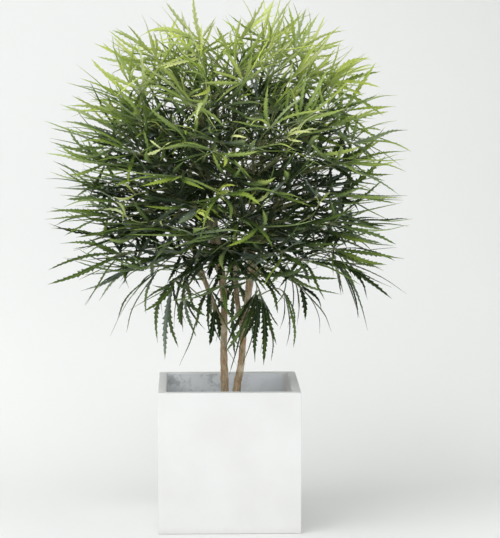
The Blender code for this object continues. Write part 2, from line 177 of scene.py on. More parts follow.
bm = bmesh.new()
bmesh.ops.create_cube(
    bm, size=1.0,
    matrix=Matrix.Translation((0, 0, rim / 2)) @ Matrix.Diagonal((pot_side, pot_side, rim, 1)),
)
mouth = max(bm.faces, key=lambda f: f.calc_center_median().z)
bmesh.ops.inset_individual(bm, faces=[mouth], thickness=WALL, use_even_offset=True)
sunk = bmesh.ops.extrude_discrete_faces(bm, faces=[mouth])["faces"][0]
for vert in sunk.verts:
    vert.co.x -= math.copysign(LEAN, vert.co.x)
    vert.co.y -= math.copysign(LEAN, vert.co.y)
    vert.co.z = FLOOR
bmesh.ops.bevel(bm, geom=bm.edges[:], offset=EASED_EDGE, segments=5, profile=0.5, affect="EDGES")
bmesh.ops.recalc_face_normals(bm, faces=bm.faces)
shell = bpy.data.meshes.new("planter_shell")
bm.to_mesh(shell)
bm.free()
shell.shade_smooth()
shell.set_sharp_from_angle(angle=math.radians(40))
planter = put("planter_shell", shell, painted_cement(), ["planter"])

# --------------------------------------------------------------------------------- soil
# Peat mix, filled to a few centimetres under the rim and heaped a little at the canes. It
# lies loose: crumbs, bits of bark and a few white perlite grains.
SOIL_GRAIN = 0.0019  # the spacing of the surface's points
CRUMBS = 420
PERLITE = 70
SOIL_BELOW_RIM = 0.050
SOIL_MOUND = 0.010  # how much higher it lies in the middle
SOIL_LUMPS, SOIL_CRUMBLE = 0.0016, 0.0006
WET_PEAT, DRY_PEAT = (0.016, 0.011, 0.008), (0.075, 0.047, 0.030)
DUSTY_PERLITE, CLEAN_PERLITE = (0.45, 0.42, 0.37), (0.80, 0.79, 0.75)

soil_low, soil_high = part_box("soil")
soil_half = (soil_high.x - soil_low.x) / 2
soil_edge = rim - SOIL_BELOW_RIM


def soil_top(x, y):
    inward = max(0.0, (1 - (x / soil_half) ** 2) * (1 - (y / soil_half) ** 2))
    lumps = noise.fractal(Vector((x, y, 0.3)) * 55, 1.0, 2.0, 4) * SOIL_LUMPS
    fine = noise.noise(Vector((x, y, 4.0)) * 330) * SOIL_CRUMBLE
    return soil_edge + SOIL_MOUND * inward + lumps + fine


def peat():
    made, tree, shader = new_material("peat_mix", 0.95, 0.2)
    place = node(tree, "ShaderNodeTexCoord").outputs["Object"]
    clods = node(tree, "ShaderNodeTexNoise", Vector=place, Scale=70.0, Detail=7.0, Roughness=0.65)
    cells = node(tree, "ShaderNodeTexVoronoi", Vector=place, Scale=520.0)
    dark = blend_colours(tree, step_between(tree, clods.outputs[0], 0.35, 0.65), WET_PEAT, DRY_PEAT)
    tone = blend_colours(tree, 0.35, dark, cells.outputs["Color"], "MULTIPLY")
    tree.links.new(tone, shader.inputs["Base Color"])
    bump = node(tree, "ShaderNodeBump", Height=cells.outputs["Distance"], Distance=0.002, Strength=0.6)
    tree.links.new(bump.outputs[0], shader.inputs["Normal"])
    return made


cells_across = int(2 * soil_half / SOIL_GRAIN)
bm = bmesh.new()
bmesh.ops.create_grid(bm, x_segments=cells_across, y_segments=cells_across, size=soil_half)
for vert in bm.verts:
    vert.co.z = soil_top(vert.co.x, vert.co.y)
skirt = bmesh.ops.extrude_edge_only(bm, edges=[e for e in bm.edges if e.is_boundary])["geom"]
for vert in skirt:
    if isinstance(vert, bmesh.types.BMVert):
        vert.co.x *= 1 - LEAN / soil_half
        vert.co.y *= 1 - LEAN / soil_half
        vert.co.z = soil_low.z
bmesh.ops.contextual_create(bm, geom=[e for e in bm.edges if e.is_boundary])
bmesh.ops.recalc_face_normals(bm, faces=bm.faces)
bed = bpy.data.meshes.new("soil_bed")
bm.to_mesh(bed)
bm.free()
bed.shade_smooth()
peat_mix = peat()
put("soil_bed", bed, peat_mix, ["soil"])


def scatter(name, count, sizes, material, seed):
    """Loose grains lying in the top of the soil, as one piece."""
    chance = random.Random(seed)
    noise.seed_set(1)  # or noise_vector would start from the clock
    grains = bmesh.new()
    for _ in range(count):
        x, y = (chance.uniform(-1, 1) * (soil_half - 0.006) for _ in range(2))
        size = chance.uniform(*sizes)
        turn = Matrix.Rotation(chance.uniform(0, math.tau), 4, Vector((
            chance.uniform(-1, 1), chance.uniform(-1, 1), 1)).normalized())
        flat = Matrix.Diagonal((1, chance.uniform(0.5, 1), chance.uniform(0.35, 0.8), 1))
        at = Matrix.Translation((x, y, soil_top(x, y) + size * 0.15))
        made = bmesh.ops.create_icosphere(
            grains, subdivisions=2, radius=size, matrix=at @ turn @ flat)["verts"]
        for vert in made:
            vert.co += noise.noise_vector(vert.co * 900) * size * 0.22
    mesh = bpy.data.meshes.new(name)
    grains.to_mesh(mesh)
    grains.free()
    mesh.shade_smooth()
    return put(name, mesh, material)


def perlite():
    made, tree, shader = new_material("perlite", 0.9, 0.3)
    place = node(tree, "ShaderNodeTexCoord").outputs["Object"]
    speck = node(tree, "ShaderNodeTexNoise", Vector=place, Scale=900.0, Detail=3.0).outputs[0]
    tone = blend_colours(tree, step_between(tree, speck, 0.35, 0.6), DUSTY_PERLITE, CLEAN_PERLITE)
    tree.links.new(tone, shader.inputs["Base Color"])
    return made


scatter("soil_crumbs", CRUMBS, (0.0012, 0.0034), peat_mix, "crumbs")
scatter("perlite_grains", PERLITE, (0.0008, 0.0018), perlite(), "perlite")

# -------------------------------------------------------------------------------- stems
# Two woody stems, each forked above the pot. The bark is thin and tan, ringed by the scars
# of dropped leaves and finely cracked along its length.
BARK_GRAIN = 0.0015  # how fine the skin is remade
BARK_EVENED = 12  # passes of smoothing
SCAR_SPACING = 0.021
SCAR_HEIGHT = 0.0006
CRACK_DEPTH = 0.0004
BURR_HEIGHT = 0.0007
BARK_OVER = 0.0009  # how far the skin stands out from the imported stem
BARK_SHADE, BARK_TAN, BARK_PALE = (0.235, 0.165, 0.100), (0.50, 0.385, 0.245), (0.60, 0.51, 0.37)
BARK_RUST, BARK_SPECK = (0.36, 0.19, 0.09), (0.62, 0.55, 0.44)
YOUNG_WOOD = (0.085, 0.10, 0.035)


def bark():
    made, tree, shader = new_material("tan_bark", 0.82, 0.3)
    place = node(tree, "ShaderNodeTexCoord").outputs["Object"]
    stretched = node(tree, "ShaderNodeMapping", Vector=place, Scale=(1.0, 1.0, 0.16)).outputs[0]
    streaks = node(tree, "ShaderNodeTexNoise", Vector=stretched, Scale=420.0, Detail=6.0,
                   Roughness=0.7).outputs[0]
    patches = node(tree, "ShaderNodeTexNoise", Vector=place, Scale=38.0, Detail=5.0).outputs[0]
    specks = node(tree, "ShaderNodeTexNoise", Vector=place, Scale=600.0, Detail=2.0).outputs[0]
    tone = blend_colours(tree, step_between(tree, streaks, 0.36, 0.62), BARK_SHADE, BARK_TAN)
    tone = blend_colours(tree, step_between(tree, patches, 0.50, 0.66), tone, BARK_PALE)
    rusty = sums(tree, "MULTIPLY", step_between(tree, patches, 0.46, 0.36), 0.55)
    tone = blend_colours(tree, rusty, tone, BARK_RUST)
    specked = sums(tree, "MULTIPLY", step_between(tree, specks, 0.62, 0.70), 0.6)
    tone = blend_colours(tree, specked, tone, BARK_SPECK)
    # the young wood at the top is still green
    height = node(tree, "ShaderNodeSeparateXYZ", Vector=place).outputs[2]
    green = sums(tree, "MULTIPLY", step_between(tree, height, 0.46, 0.74), 0.85)
    tone = blend_colours(tree, green, tone, YOUNG_WOOD)
    tree.links.new(tone, shader.inputs["Base Color"])
    relief = sums(tree, "ADD", streaks, sums(tree, "MULTIPLY", specks, 0.4))
    bump = node(tree, "ShaderNodeBump", Height=relief, Distance=0.0008, Strength=0.7)
    tree.links.new(bump.outputs[0], shader.inputs["Normal"])
    return made


tan_bark = bark()
for name in ("stem_left", "stem_right"):
    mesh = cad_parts[name].data.copy()
    mesh.materials.clear()
    stem = bpy.data.objects.new(name + "_bark", mesh)
    bpy.context.scene.collection.objects.link(stem)
    skin = stem.modifiers.new("skin", "REMESH")
    skin.mode = "VOXEL"
    skin.voxel_size = BARK_GRAIN
    even = stem.modifiers.new("even", "SMOOTH")
    even.factor = 0.6
    even.iterations = BARK_EVENED
    graph = bpy.context.evaluated_depsgraph_get()
    mesh = bpy.data.meshes.new_from_object(stem.evaluated_get(graph))
    bpy.data.objects.remove(stem)
    normals = [v.normal.copy() for v in mesh.vertices]
    for vert, normal in zip(mesh.vertices, normals):
        at = vert.co
        wander = noise.noise(at * 22) * 0.010
        ring = (at.z + wander) / SCAR_SPACING + noise.noise(at * 9)
        scar = math.exp(-(((ring % 1.0) - 0.5) / 0.09) ** 2) * SCAR_HEIGHT
        crack = noise.fractal(Vector((at.x * 420, at.y * 420, at.z * 60)), 1.0, 2.0, 3) * CRACK_DEPTH
        burr = noise.noise(at * 95) * BURR_HEIGHT
        vert.co = at + normal * (BARK_OVER + scar + crack + burr)
    mesh.shade_smooth()
    put(name + "_bark", mesh, tan_bark, [name])

# ------------------------------------------------------------------------------- leaves
# Each leaf grew as one: a thin stalk, a knuckle, and a fan of narrow leaflets with coarse
# forward teeth and a long thread-like tip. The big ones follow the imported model's leaves.
# from the middle of a CAD leaf's hub: where it's crowded, what belongs to it, what is cut away
HUB_CROWD, HUB_RADIUS, HUB_CUT = 0.0060, 0.0065, 0.0075
STALK_RADIUS = 0.0012
STALK_SUNK = 0.0016  # how far a stalk's foot goes into the bark
STALK_SIDES = 7
STALK_STATIONS = 14
KNUCKLE_RADIUS = 0.0026
# along and out, as shares of its radius
KNUCKLE_SHAPE = ((-1.4, 0.55), (-0.8, 0.85), (-0.2, 1.0), (0.4, 0.95), (0.9, 0.6), (1.2, 0.2))
LEAFLET_HALF_WIDTH = 0.0074
LEAFLET_WIDTHS = (0.82, 1.12)  # from one leaflet to the next
SHORT_WIDTH = 0.62  # as a share, how wide the shortest is
# half widths as shares of the widest: from the foot to the first tooth, and from the last
# tooth to the end of the tip
LEAFLET_FOOT = ((0.0, 0.09), (0.025, 0.10), (0.05, 0.14), (0.075, 0.26))
LEAFLET_TIP = ((0.0, 0.34), (0.3, 0.16), (0.65, 0.09), (1.0, 0.03))
BLADE_THICKNESS = 0.0005
BLADE_STEPS = 60
BLADE_FOOT = 0.10  # as a share of the leaflet's length: the teeth begin here
BLADE_REACH, THREAD_LONGER = 0.92, 0.14  # and end here, or so much sooner before a long thread
TOOTHED = 0.80  # the share of a leaflet's length that the teeth are spread over
TOOTH_PITCH, FEWEST_TEETH = 0.0120, 4
TOOTH_SHIFT = 0.12  # how uneven the teeth's pitch is
TOOTH_SIZES = (-0.22, 0.36)  # and their size
ROLL, TWIST = 0.75, 0.7  # the most that a leaflet turns about its rib, in radians
SWAY, WAVE = 0.075, 0.03  # and strays to the side and up, as shares of its length
FOLDS = (0.12, 0.50)  # how steeply the halves rise from the rib
SHARP_EDGE = math.radians(32)
TONE_SPREAD = 0.10  # between one leaflet and the next
SILVERED, SILVERING = 0.20, 2.8  # this share of the leaflets gets a painted silvery sheen, and more gloss
CORNER = 0.01  # room on the map for a strip's end caps

# by age, from a leaf that has just opened to an old one; the painted shade deep in the crown also moves
# leaves along it, as far as the near-black last stop
LEAF_GREENS = {
    0.0: (0.68, 0.74, 0.30),
    0.18: (0.50, 0.60, 0.085),
    0.42: (0.28, 0.385, 0.045),
    0.70: (0.082, 0.140, 0.018),
    1.0: (0.011, 0.024, 0.006),
}
# painted sheen: the silvery tint some leaflets are coloured with, as if they caught a reflection, greyer
# on old leaves and yellower on young ones
OLD_SHEEN, FRESH_SHEEN = (0.26, 0.33, 0.29), (0.52, 0.60, 0.34)
RIB_GREEN, VEIN_GREEN = (0.46, 0.54, 0.26), (0.40, 0.48, 0.20)
FOOT_GREEN, UNDERSIDE = (0.40, 0.45, 0.27), (0.30, 0.38, 0.25)
BROWN_MARGIN = (0.12, 0.09, 0.03)
STALK_GREEN, STALK_TAN = (0.20, 0.235, 0.085), (0.33, 0.32, 0.17)
VEINS, VEIN_SLANT = 46.0, -2.2


def glide(points, count):
    """count + 1 places along a smooth curve through the points."""
    ends = [2 * points[0] - points[1], *points, 2 * points[-1] - points[-2]]
    places = []
    for i in range(count + 1):
        at = i / count * (len(points) - 1)
        k = min(int(at), len(points) - 2)
        a, b, c, d = ends[k:k + 4]
        t = at - k
        places.append(0.5 * (2 * b + (c - a) * t + (2 * a - 5 * b + 4 * c - d) * t * t
                             + (3 * b - a - 3 * c + d) * t ** 3))
    return places


def read_leaf(solid):
    """A CAD leaf's stalk, hub and leaflets, from the corners of its solid."""
    grid = bmesh.new()
    grid.from_mesh(solid.data)
    bmesh.ops.remove_doubles(grid, verts=grid.verts, dist=0.00001)
    corners = [v.co.copy() for v in grid.verts]
    hub = max(corners, key=lambda p: sum((q - p).length < HUB_CROWD for q in corners))
    for _ in range(4):
        near = [q for q in corners if (q - hub).length < HUB_RADIUS]
        hub = sum(near, Vector()) / len(near)
    bmesh.ops.delete(grid, geom=[v for v in grid.verts if (v.co - hub).length < HUB_CUT])
    islands, seen = [], set()
    for start in grid.verts:
        if start in seen:
            continue
        island, queue = [], [start]
        seen.add(start)
        while queue:
            vert = queue.pop()
            island.append(vert.co.copy())
            for edge in vert.link_edges:
                other = edge.other_vert(vert)
                if other not in seen:
                    seen.add(other)
                    queue.append(other)
        islands.append(sorted(island, key=lambda p: (p - hub).length))
    grid.free()
    stalk = max(islands, key=len)
    islands.remove(stalk)

    def rings(island, each):
        return [island[i:i + each] for i in range(0, len(island) - each + 1, each)]

    def middle(ring):
        return sum(ring, Vector()) / len(ring)

    leaflets = []
    for island in islands:
        near, far = rings(island[:8], 4)
        across = max((p - q for p in near for q in near), key=lambda d: d.length).normalized()
        leaflets.append(([hub, middle(near), middle(far), middle(island[8:])], across))
    return {"stalk": [middle(r) for r in reversed(rings(stalk, 6))] + [hub], "leaflets": leaflets}


class Foliage:
    """The points, faces, map and tones of one leaf's mesh while it is being grown."""

    def __init__(self, strips):
        self.points, self.faces, self.corners = [], [], []
        self.along, self.side, self.under, self.stalk = [], [], [], []
        self.cast, self.sheen_and_gloss = [], []
        self.strip, self.strips = 0, strips

    def loop_of(self, count):
        """The faces that join the last two rings of points."""
        first = len(self.points) - 2 * count
        for i in range(count):
            j = (i + 1) % count
            yield first + i, first + j, first + count + j, first + count + i

    def row(self, share):
        """The height on the map of this share of the present strip."""
        return (self.strip + share) / self.strips

    def tube(self, path, radii, sides):
        """A round stalk, capped at both ends."""
        lead = (path[1] - path[0]).orthogonal().normalized()
        last = len(path) - 1
        for k, (place, radius) in enumerate(zip(path, radii)):
            ahead = (path[min(k + 1, last)] - path[max(k - 1, 0)]).normalized()
            lead = (lead - lead.dot(ahead) * ahead).normalized()
            beside = ahead.cross(lead)
            for i in range(sides):
                angle = math.tau * i / sides
                self.points.append(place + (lead * math.cos(angle) + beside * math.sin(angle)) * radius)
                self.along.append(k / last)
                self.side.append(0.0)
                self.cast.append(0.0)
                self.sheen_and_gloss.append(0.0)
            if k:
                was, now = (k - 1) / last, k / last
                for i, face in enumerate(self.loop_of(sides)):
                    low, high = self.row(i / sides), self.row((i + 1) / sides)
                    self.face(face, [(was, low), (was, high), (now, high), (now, low)], 0, 1)
        corner = (0.1 * CORNER, self.row(CORNER))
        for ring, spot in ((range(sides - 1, -1, -1), 0), (range(sides), last * sides)):
            first = len(self.points) - (last + 1) * sides + spot
            self.face([first + i for i in ring], [corner] * sides, 0, 1)
        self.strip += 1

    def face(self, face, corners, under, stalk):
        """One face, with its corners on the map, and whether it's of the underside or a stalk."""
        self.faces.append(face)
        self.corners += corners
        self.under.append(under)
        self.stalk.append(stalk)

    def blade(self, path, across, half_width, chance, thread=0.0, notch=0.50):
        """One toothed leaflet along the path, thin at its margins and folded at its rib."""
        length = sum((b - a).length for a, b in zip(path, path[1:]))
        teeth = max(FEWEST_TEETH, round(length * TOOTHED / TOOTH_PITCH))
        # where each cross-section is, and how wide the blade is to its left and right
        stations = [(where, half, half) for where, half in LEAFLET_FOOT]
        reach = BLADE_REACH - THREAD_LONGER * thread
        tooth = ((0.0, 1.0, 0.70), (0.10, notch, 0.76), (0.50, 0.72, 1.0), (0.60, 0.78, notch))
        for k in range(teeth):
            shift = chance.uniform(-TOOTH_SHIFT, TOOTH_SHIFT)
            for part, left, right in tooth:
                at = (k + part + shift + TOOTH_SHIFT) / (teeth + 2 * TOOTH_SHIFT)
                where = BLADE_FOOT + (reach - BLADE_FOOT) * at
                belly = 0.30 + 0.70 * math.sin(math.pi * min(1.0, 0.08 + 0.78 * at)) ** 0.8
                body = belly * (1 - 0.40 * at ** 3)
                big = 1 + chance.uniform(*TOOTH_SIZES)
                stations.append((
                    where,
                    body * left * (big if left == 1.0 else 1),
                    body * right * (big if right == 1.0 else 1),
                ))
        stations += [(reach + (1 - reach) * at, half, half) for at, half in LEAFLET_TIP]
        fine = glide(path, BLADE_STEPS)
        if across.cross(path[1] - path[0]).z < 0:
            across = -across
        roll = chance.uniform(-ROLL, ROLL)
        twist = chance.uniform(-TWIST, TWIST)
        sway = chance.uniform(-1, 1) * SWAY * length
        wave = chance.uniform(-1, 1) * WAVE * length
        fold = chance.uniform(*FOLDS)
        cast = chance.gauss(0, TONE_SPREAD)
        # a few leaflets get a painted silvery sheen and more gloss
        sheen_and_gloss = max(0.0, chance.random() - (1 - SILVERED)) * SILVERING
        first_point = len(self.points)
        for k, (where, left, right) in enumerate(stations):
            spot = where * BLADE_STEPS
            i = min(int(spot), BLADE_STEPS - 1)
            ahead = (fine[i + 1] - fine[i]).normalized()
            centre = fine[i].lerp(fine[i + 1], spot - i)
            wide = (across - across.dot(ahead) * ahead).normalized()
            wide = Matrix.Rotation(roll + twist * where, 3, ahead) @ wide
            up = wide.cross(ahead)
            centre = centre + wide * sway * math.sin(math.pi * where)
            centre = centre + up * wave * math.sin(2.4 * math.pi * where) * where
            rise = fold * half_width * (left + right) / 2
            thick = BLADE_THICKNESS * (0.6 + 0.8 * (1 - where))
            self.points += [
                centre - wide * half_width * left + up * rise,
                centre,
                centre + wide * half_width * right + up * rise,
                centre - up * thick,
            ]
            self.along += [where] * 4
            self.side += [-1.0, 0.0, 1.0, 0.0]
            self.cast += [cast] * 4
            self.sheen_and_gloss += [sheen_and_gloss] * 4
            if k == 0:
                continue
            was, now = stations[k - 1][0], where
            for i, face in enumerate(self.loop_of(4)):
                low, high = self.row(0.02 + 0.24 * i), self.row(0.24 + 0.24 * i)
                self.face(face, [(was, low), (was, high), (now, high), (now, low)], int(i >= 2), 0)
        corner = (1 - 0.1 * CORNER, self.row(1 - CORNER))
        self.face([first_point + i for i in (3, 2, 1, 0)], [corner] * 4, 1, 0)
        self.face([len(self.points) - 4 + i for i in range(4)], [corner] * 4, 1, 0)
        self.strip += 1

    def finish(self, name, age_and_shade, material, stands_for=()):
        """The grown leaf as a piece. Its tones go with it as attributes for the material."""
        mesh = bpy.data.meshes.new(name)
        mesh.from_pydata(self.points, [], self.faces)
        flat = [x for corner in self.corners for x in corner]
        mesh.uv_layers.new(name="OFBake").data.foreach_set("uv", flat)
        # painted shade and painted light from shade_at go into each point's age here
        for label, domain, values in (
            ("along", "POINT", self.along), ("side", "POINT", self.side),
            ("under", "FACE", self.under), ("stalk", "FACE", self.stalk),
            ("age_and_shade", "POINT", [age_and_shade + cast + shade_at(p) for p, cast in zip(self.points, self.cast)]),
            ("sheen_and_gloss", "POINT", self.sheen_and_gloss),
        ):
            held = mesh.attributes.new(label, "FLOAT", domain)
            held.data.foreach_set("value", [float(v) for v in values])
        mesh.shade_smooth()
        mesh.set_sharp_from_angle(angle=SHARP_EDGE)
        return put(name, mesh, material, stands_for)


def grow_leaf(name, bones, age_and_shade, material, stands_for=(), stoutness=1.0, notch=0.50):
    """One whole leaf over its bones: the stalk, the knuckle at its end and the leaflets."""
    chance = random.Random(name)
    leaflets = bones["leaflets"]
    leaf = Foliage(len(leaflets) + 2)
    stalk = glide(bones["stalk"], STALK_STATIONS)
    inward = (stalk[0] - stalk[1]).normalized()
    stalk.insert(0, stalk[0] + inward * STALK_SUNK)
    last = len(stalk) - 1
    # it flares where it meets the cane
    flare = [1 + 1.3 * math.exp(-k / 0.9) + 0.25 * (1 - k / last) for k in range(last + 1)]
    leaf.tube(stalk, [STALK_RADIUS * f for f in flare], STALK_SIDES)
    ahead = (stalk[-1] - stalk[-2]).normalized()
    knuckle = [stalk[-1] + ahead * KNUCKLE_RADIUS * along for along, _ in KNUCKLE_SHAPE]
    leaf.tube(knuckle, [KNUCKLE_RADIUS * out for _, out in KNUCKLE_SHAPE], STALK_SIDES)
    longest = max((path[-1] - path[0]).length for path, _ in leaflets)
    for path, across in leaflets:
        share = (path[-1] - path[0]).length / longest
        wide = LEAFLET_HALF_WIDTH * stoutness * (SHORT_WIDTH + (1 - SHORT_WIDTH) * share)
        wide *= chance.uniform(*LEAFLET_WIDTHS)
        leaf.blade(path, across, wide, chance, chance.random() ** 2, notch)
    leaf.finish(name, age_and_shade, material, stands_for)


def leaf_skin():
    """Green by age and by painted shade and light: yellow-green where young and where painted as lit,
    deep and bluish where old and where painted as shaded, greyer underneath.
    """
    made, tree, shader = new_material("leaf_skin", 0.46, 0.22)
    place = node(tree, "ShaderNodeTexCoord").outputs["Object"]

    def attribute(name):
        found = tree.nodes.new("ShaderNodeAttribute")
        found.attribute_name = name
        return found.outputs["Fac"]

    uneven = node(tree, "ShaderNodeTexNoise", Vector=place, Scale=26.0, Detail=3.0).outputs[0]
    fine = node(tree, "ShaderNodeTexNoise", Vector=place, Scale=420.0, Detail=3.0).outputs[0]
    patchy = sums(tree, "MULTIPLY", sums(tree, "SUBTRACT", uneven, 0.5), 0.30)
    age_and_shade = sums(tree, "ADD", attribute("age_and_shade"), patchy)
    # the tip of a leaflet is its youngest part
    age_and_shade = sums(tree, "SUBTRACT", age_and_shade, sums(tree, "MULTIPLY", attribute("along"), 0.10))
    ramp = node(tree, "ShaderNodeValToRGB", Fac=age_and_shade)
    stops = ramp.color_ramp.elements
    for position, colour in LEAF_GREENS.items():
        stop = next((s for s in stops if s.position == position), None) or stops.new(position)
        stop.color = (*colour, 1)
    fresh_and_lit = step_between(tree, age_and_shade, 1.1, 0.25)
    # painted sheen: some leaflets are tinted silvery, as if catching a reflection
    painted_sheen = blend_colours(tree, fresh_and_lit, OLD_SHEEN, FRESH_SHEEN)
    blade = blend_colours(tree, attribute("sheen_and_gloss"), ramp.outputs[0], painted_sheen)
    # the rib, the veins and the foot are paler, and the more so where the leaf is young and where it is
    # painted as lit
    side = sums(tree, "ABSOLUTE", attribute("side"))
    rib = sums(tree, "MULTIPLY", step_between(tree, side, 0.20, 0.07),
               sums(tree, "MULTIPLY_ADD", fresh_and_lit, 0.42, 0.08))
    blade = blend_colours(tree, rib, blade, RIB_GREEN)
    chevron = sums(tree, "ADD", sums(tree, "MULTIPLY", attribute("along"), VEINS),
                   sums(tree, "MULTIPLY", side, VEIN_SLANT))
    veins = step_between(tree, sums(tree, "SINE", sums(tree, "MULTIPLY", chevron, 6.283)), 0.78, 1.0)
    veins_show = sums(tree, "MULTIPLY", veins, sums(tree, "MULTIPLY_ADD", fresh_and_lit, 0.16, 0.04))
    blade = blend_colours(tree, veins_show, blade, VEIN_GREEN)
    foot = sums(tree, "MULTIPLY", step_between(tree, attribute("along"), 0.13, 0.05),
                sums(tree, "MULTIPLY_ADD", fresh_and_lit, 0.40, 0.35))
    blade = blend_colours(tree, foot, blade, FOOT_GREEN)
    margin = sums(tree, "MULTIPLY", step_between(tree, side, 0.88, 1.0), 0.20)
    blade = blend_colours(tree, margin, blade, BROWN_MARGIN)
    pale = blend_colours(tree, sums(tree, "MULTIPLY_ADD", fresh_and_lit, 0.18, 0.06), blade, UNDERSIDE)
    blade = blend_colours(tree, attribute("under"), blade, pale)
    woody = blend_colours(tree, step_between(tree, fine, 0.45, 0.65), STALK_GREEN, STALK_TAN)
    tone = blend_colours(tree, sums(tree, "MULTIPLY", attribute("stalk"), 0.7), blade, woody)
    tree.links.new(tone, shader.inputs["Base Color"])
    relief = sums(tree, "ADD", sums(tree, "MULTIPLY", veins, 0.6), sums(tree, "MULTIPLY", fine, 0.5))
    bump = node(tree, "ShaderNodeBump", Height=relief, Distance=0.0004, Strength=0.5)
    tree.links.new(bump.outputs[0], shader.inputs["Normal"])
    gloss = sums(tree, "MULTIPLY_ADD", fresh_and_lit, 0.14, 0.06)
    gloss = sums(tree, "MULTIPLY_ADD", attribute("sheen_and_gloss"), 0.5, gloss)
    tree.links.new(gloss, shader.inputs["Specular IOR Level"])
    rough = node(tree, "ShaderNodeMapRange", Value=fine)
    rough.inputs["To Min"].default_value = 0.34
    rough.inputs["To Max"].default_value = 0.56
    tree.links.new(rough.outputs[0], shader.inputs["Roughness"])
    return made


CROWN_MIDDLE = Vector((0.0, 0.0, rim + 0.450))
CROWN_HALF_WIDTH = 0.405
CROWN_HALF_HEIGHT = 0.400
CROWN_FOOT, CROWN_RISE = 0.50, 0.56  # ages, and with them the painted light at the top and painted shade at the foot, are spread over this height
SUNLIT_RISE = 0.30  # from the foot up to where the outside is in full light
SHADE_LINE = 0.78  # as a share of the way out from the middle
SHADED, SUNLIT = 2.10, 0.20  # how much darker they are coloured within it, as painted shade, and paler outside, as painted light
OLDEST, YOUNGER, YOUNGEST = 0.98, 0.80, 0.14
AGE_SPREAD = 0.14
SLIMMER, SLIM_RISE = 0.26, 0.20  # top leaves are narrower, fully so this far above the middle


def shade_at(place):
    """Painted shade and light: how much darker the leaves are coloured the deeper they are in the crown,
    and how much paler at its outside above the foot.
    """
    off = place - CROWN_MIDDLE
    out = Vector((off.x / CROWN_HALF_WIDTH, off.y / CROWN_HALF_WIDTH, off.z / CROWN_HALF_HEIGHT)).length
    height = min(1.0, max(0.0, (place.z - CROWN_FOOT) / SUNLIT_RISE))
    return SHADED * max(0.0, SHADE_LINE - out) - SUNLIT * height * max(0.0, min(out, 1.0) - SHADE_LINE)


def age_and_shade_at(place, chance):
    """Young at the crown's top and old at its foot: the paler green at the top is new growth and partly
    painted light, the darker green at the foot is old leaves and partly painted shade.
    """
    height = (place.z - CROWN_FOOT) / CROWN_RISE
    return min(1.0, max(YOUNGEST, OLDEST - YOUNGER * height + chance.uniform(-AGE_SPREAD, AGE_SPREAD)))


leaf_green = leaf_skin()
hubs = []
for name in sorted(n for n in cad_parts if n.startswith("leaf_")):
    bones = read_leaf(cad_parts[name])
    hub = bones["stalk"][-1]
    hubs.append(hub)
    slim = SLIMMER * min(1.0, max(0.0, (hub.z - CROWN_MIDDLE.z) / SLIM_RISE))
    grow_leaf(name + "_spray", bones, age_and_shade_at(hub, random.Random(name)), leaf_green, [name],
              stoutness=1.0 - slim)

# ------------------------------------------------------------------- leaves that fill in
# The rest of the crown: as many leaves again and more, on the same canes, from the shoots
# inside to the outline. They are lighter built than the first ones and set between them.
FILLING_LEAVES = 268
TRIES = 24  # each takes the roomiest of so many places
INNER_EACH = 3  # every third is inside the crown
INNER_LIFT, INNER_OUT = (-0.95, 0.75), (0.12, 0.56)
OUTER_OUT, OUTER_FURTHER = (0.34, 0.48, 0.58, 0.64), 0.08
FILLING_LEAFLETS = (7, 8, 9)
FILLING_LENGTH, SHORTER_TOP = 0.168, 0.14
FILLING_LENGTHS = (0.82, 1.06)
FILLING_STOUTNESS, SLIMMER_TOP = 0.94, (0.12, 0.50)
SPREAD, NARROWER_TOP = 112, 55  # in degrees to either side
PARASOLS, PARASOL_HEIGHT, PARASOL_SPREAD = 0.45, 0.25, 125
OUTER_SHORTER = 0.45  # how much shorter a leaf's outermost leaflets are
LEAFLET_LENGTHS = (0.90, 1.08)
OUTLINE_SIDE, OUTLINE_TOP = 0.97, 0.98  # as shares of the crown's half width and half height
LOWEST_FOOT = 0.15  # above the rim, where the first stalk leaves a cane
FOOT_BACK, FOOT_DOWN, FOOT_INWARD = 0.06, 0.030, 0.25  # from the hub to where its stalk starts

bark_points = [v.co.copy() for n in ("stem_left", "stem_right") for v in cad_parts[n].data.vertices]
bark_points = [p for p in bark_points if p.z > rim + LOWEST_FOOT]
canes = KDTree(len(bark_points))
for index, point in enumerate(bark_points):
    canes.insert(point, index)
canes.balance()


def towards(turn, rise):
    """The direction with this heading and climb."""
    return Vector((math.cos(turn) * math.cos(rise), math.sin(turn) * math.cos(rise), math.sin(rise)))


def past_outline(place):
    """Whether it is outside the crown: a dome above its middle, and straight-sided below."""
    off = place - CROWN_MIDDLE
    wide = math.hypot(off.x, off.y) / CROWN_HALF_WIDTH
    high = max(0.0, off.z) / CROWN_HALF_HEIGHT
    return wide > OUTLINE_SIDE or math.hypot(wide, high) > OUTLINE_TOP


def fan(hub, points, normal, count, longest, spread, tilt, arc, chance):
    """Bones for a leaf whose leaflets spread about the way it points."""
    frame_of = Matrix((points, normal.cross(points), normal)).transposed()
    leaflets = []
    for k in range(count):
        side = 2 * k / (count - 1) - 1
        length = longest * (1 - OUTER_SHORTER * abs(side) ** 1.5) * chance.uniform(*LEAFLET_LENGTHS)
        turn = Matrix.Rotation(side * spread + chance.uniform(-0.07, 0.07), 3, "Z")
        turn = turn @ Matrix.Rotation(tilt + chance.uniform(-0.16, 0.16), 3, "Y")
        bend = arc + chance.uniform(-0.45, 0.45)
        path = []
        for along in (0, 1 / 3, 2 / 3, 1):
            angle = bend * along or 1e-5
            reach = length * along
            bent = Vector((reach * math.sin(angle) / angle, 0, -reach * (1 - math.cos(angle)) / angle))
            path.append(frame_of @ (turn @ bent))
        # no leaflet grows out past the crown
        share = 1.0
        while past_outline(hub + path[-1] * share) and share > 0.35:
            share -= 0.05
        across = frame_of @ (turn @ Vector((0, 1, 0)))
        leaflets.append(([hub + step * share for step in path], across))
    return leaflets


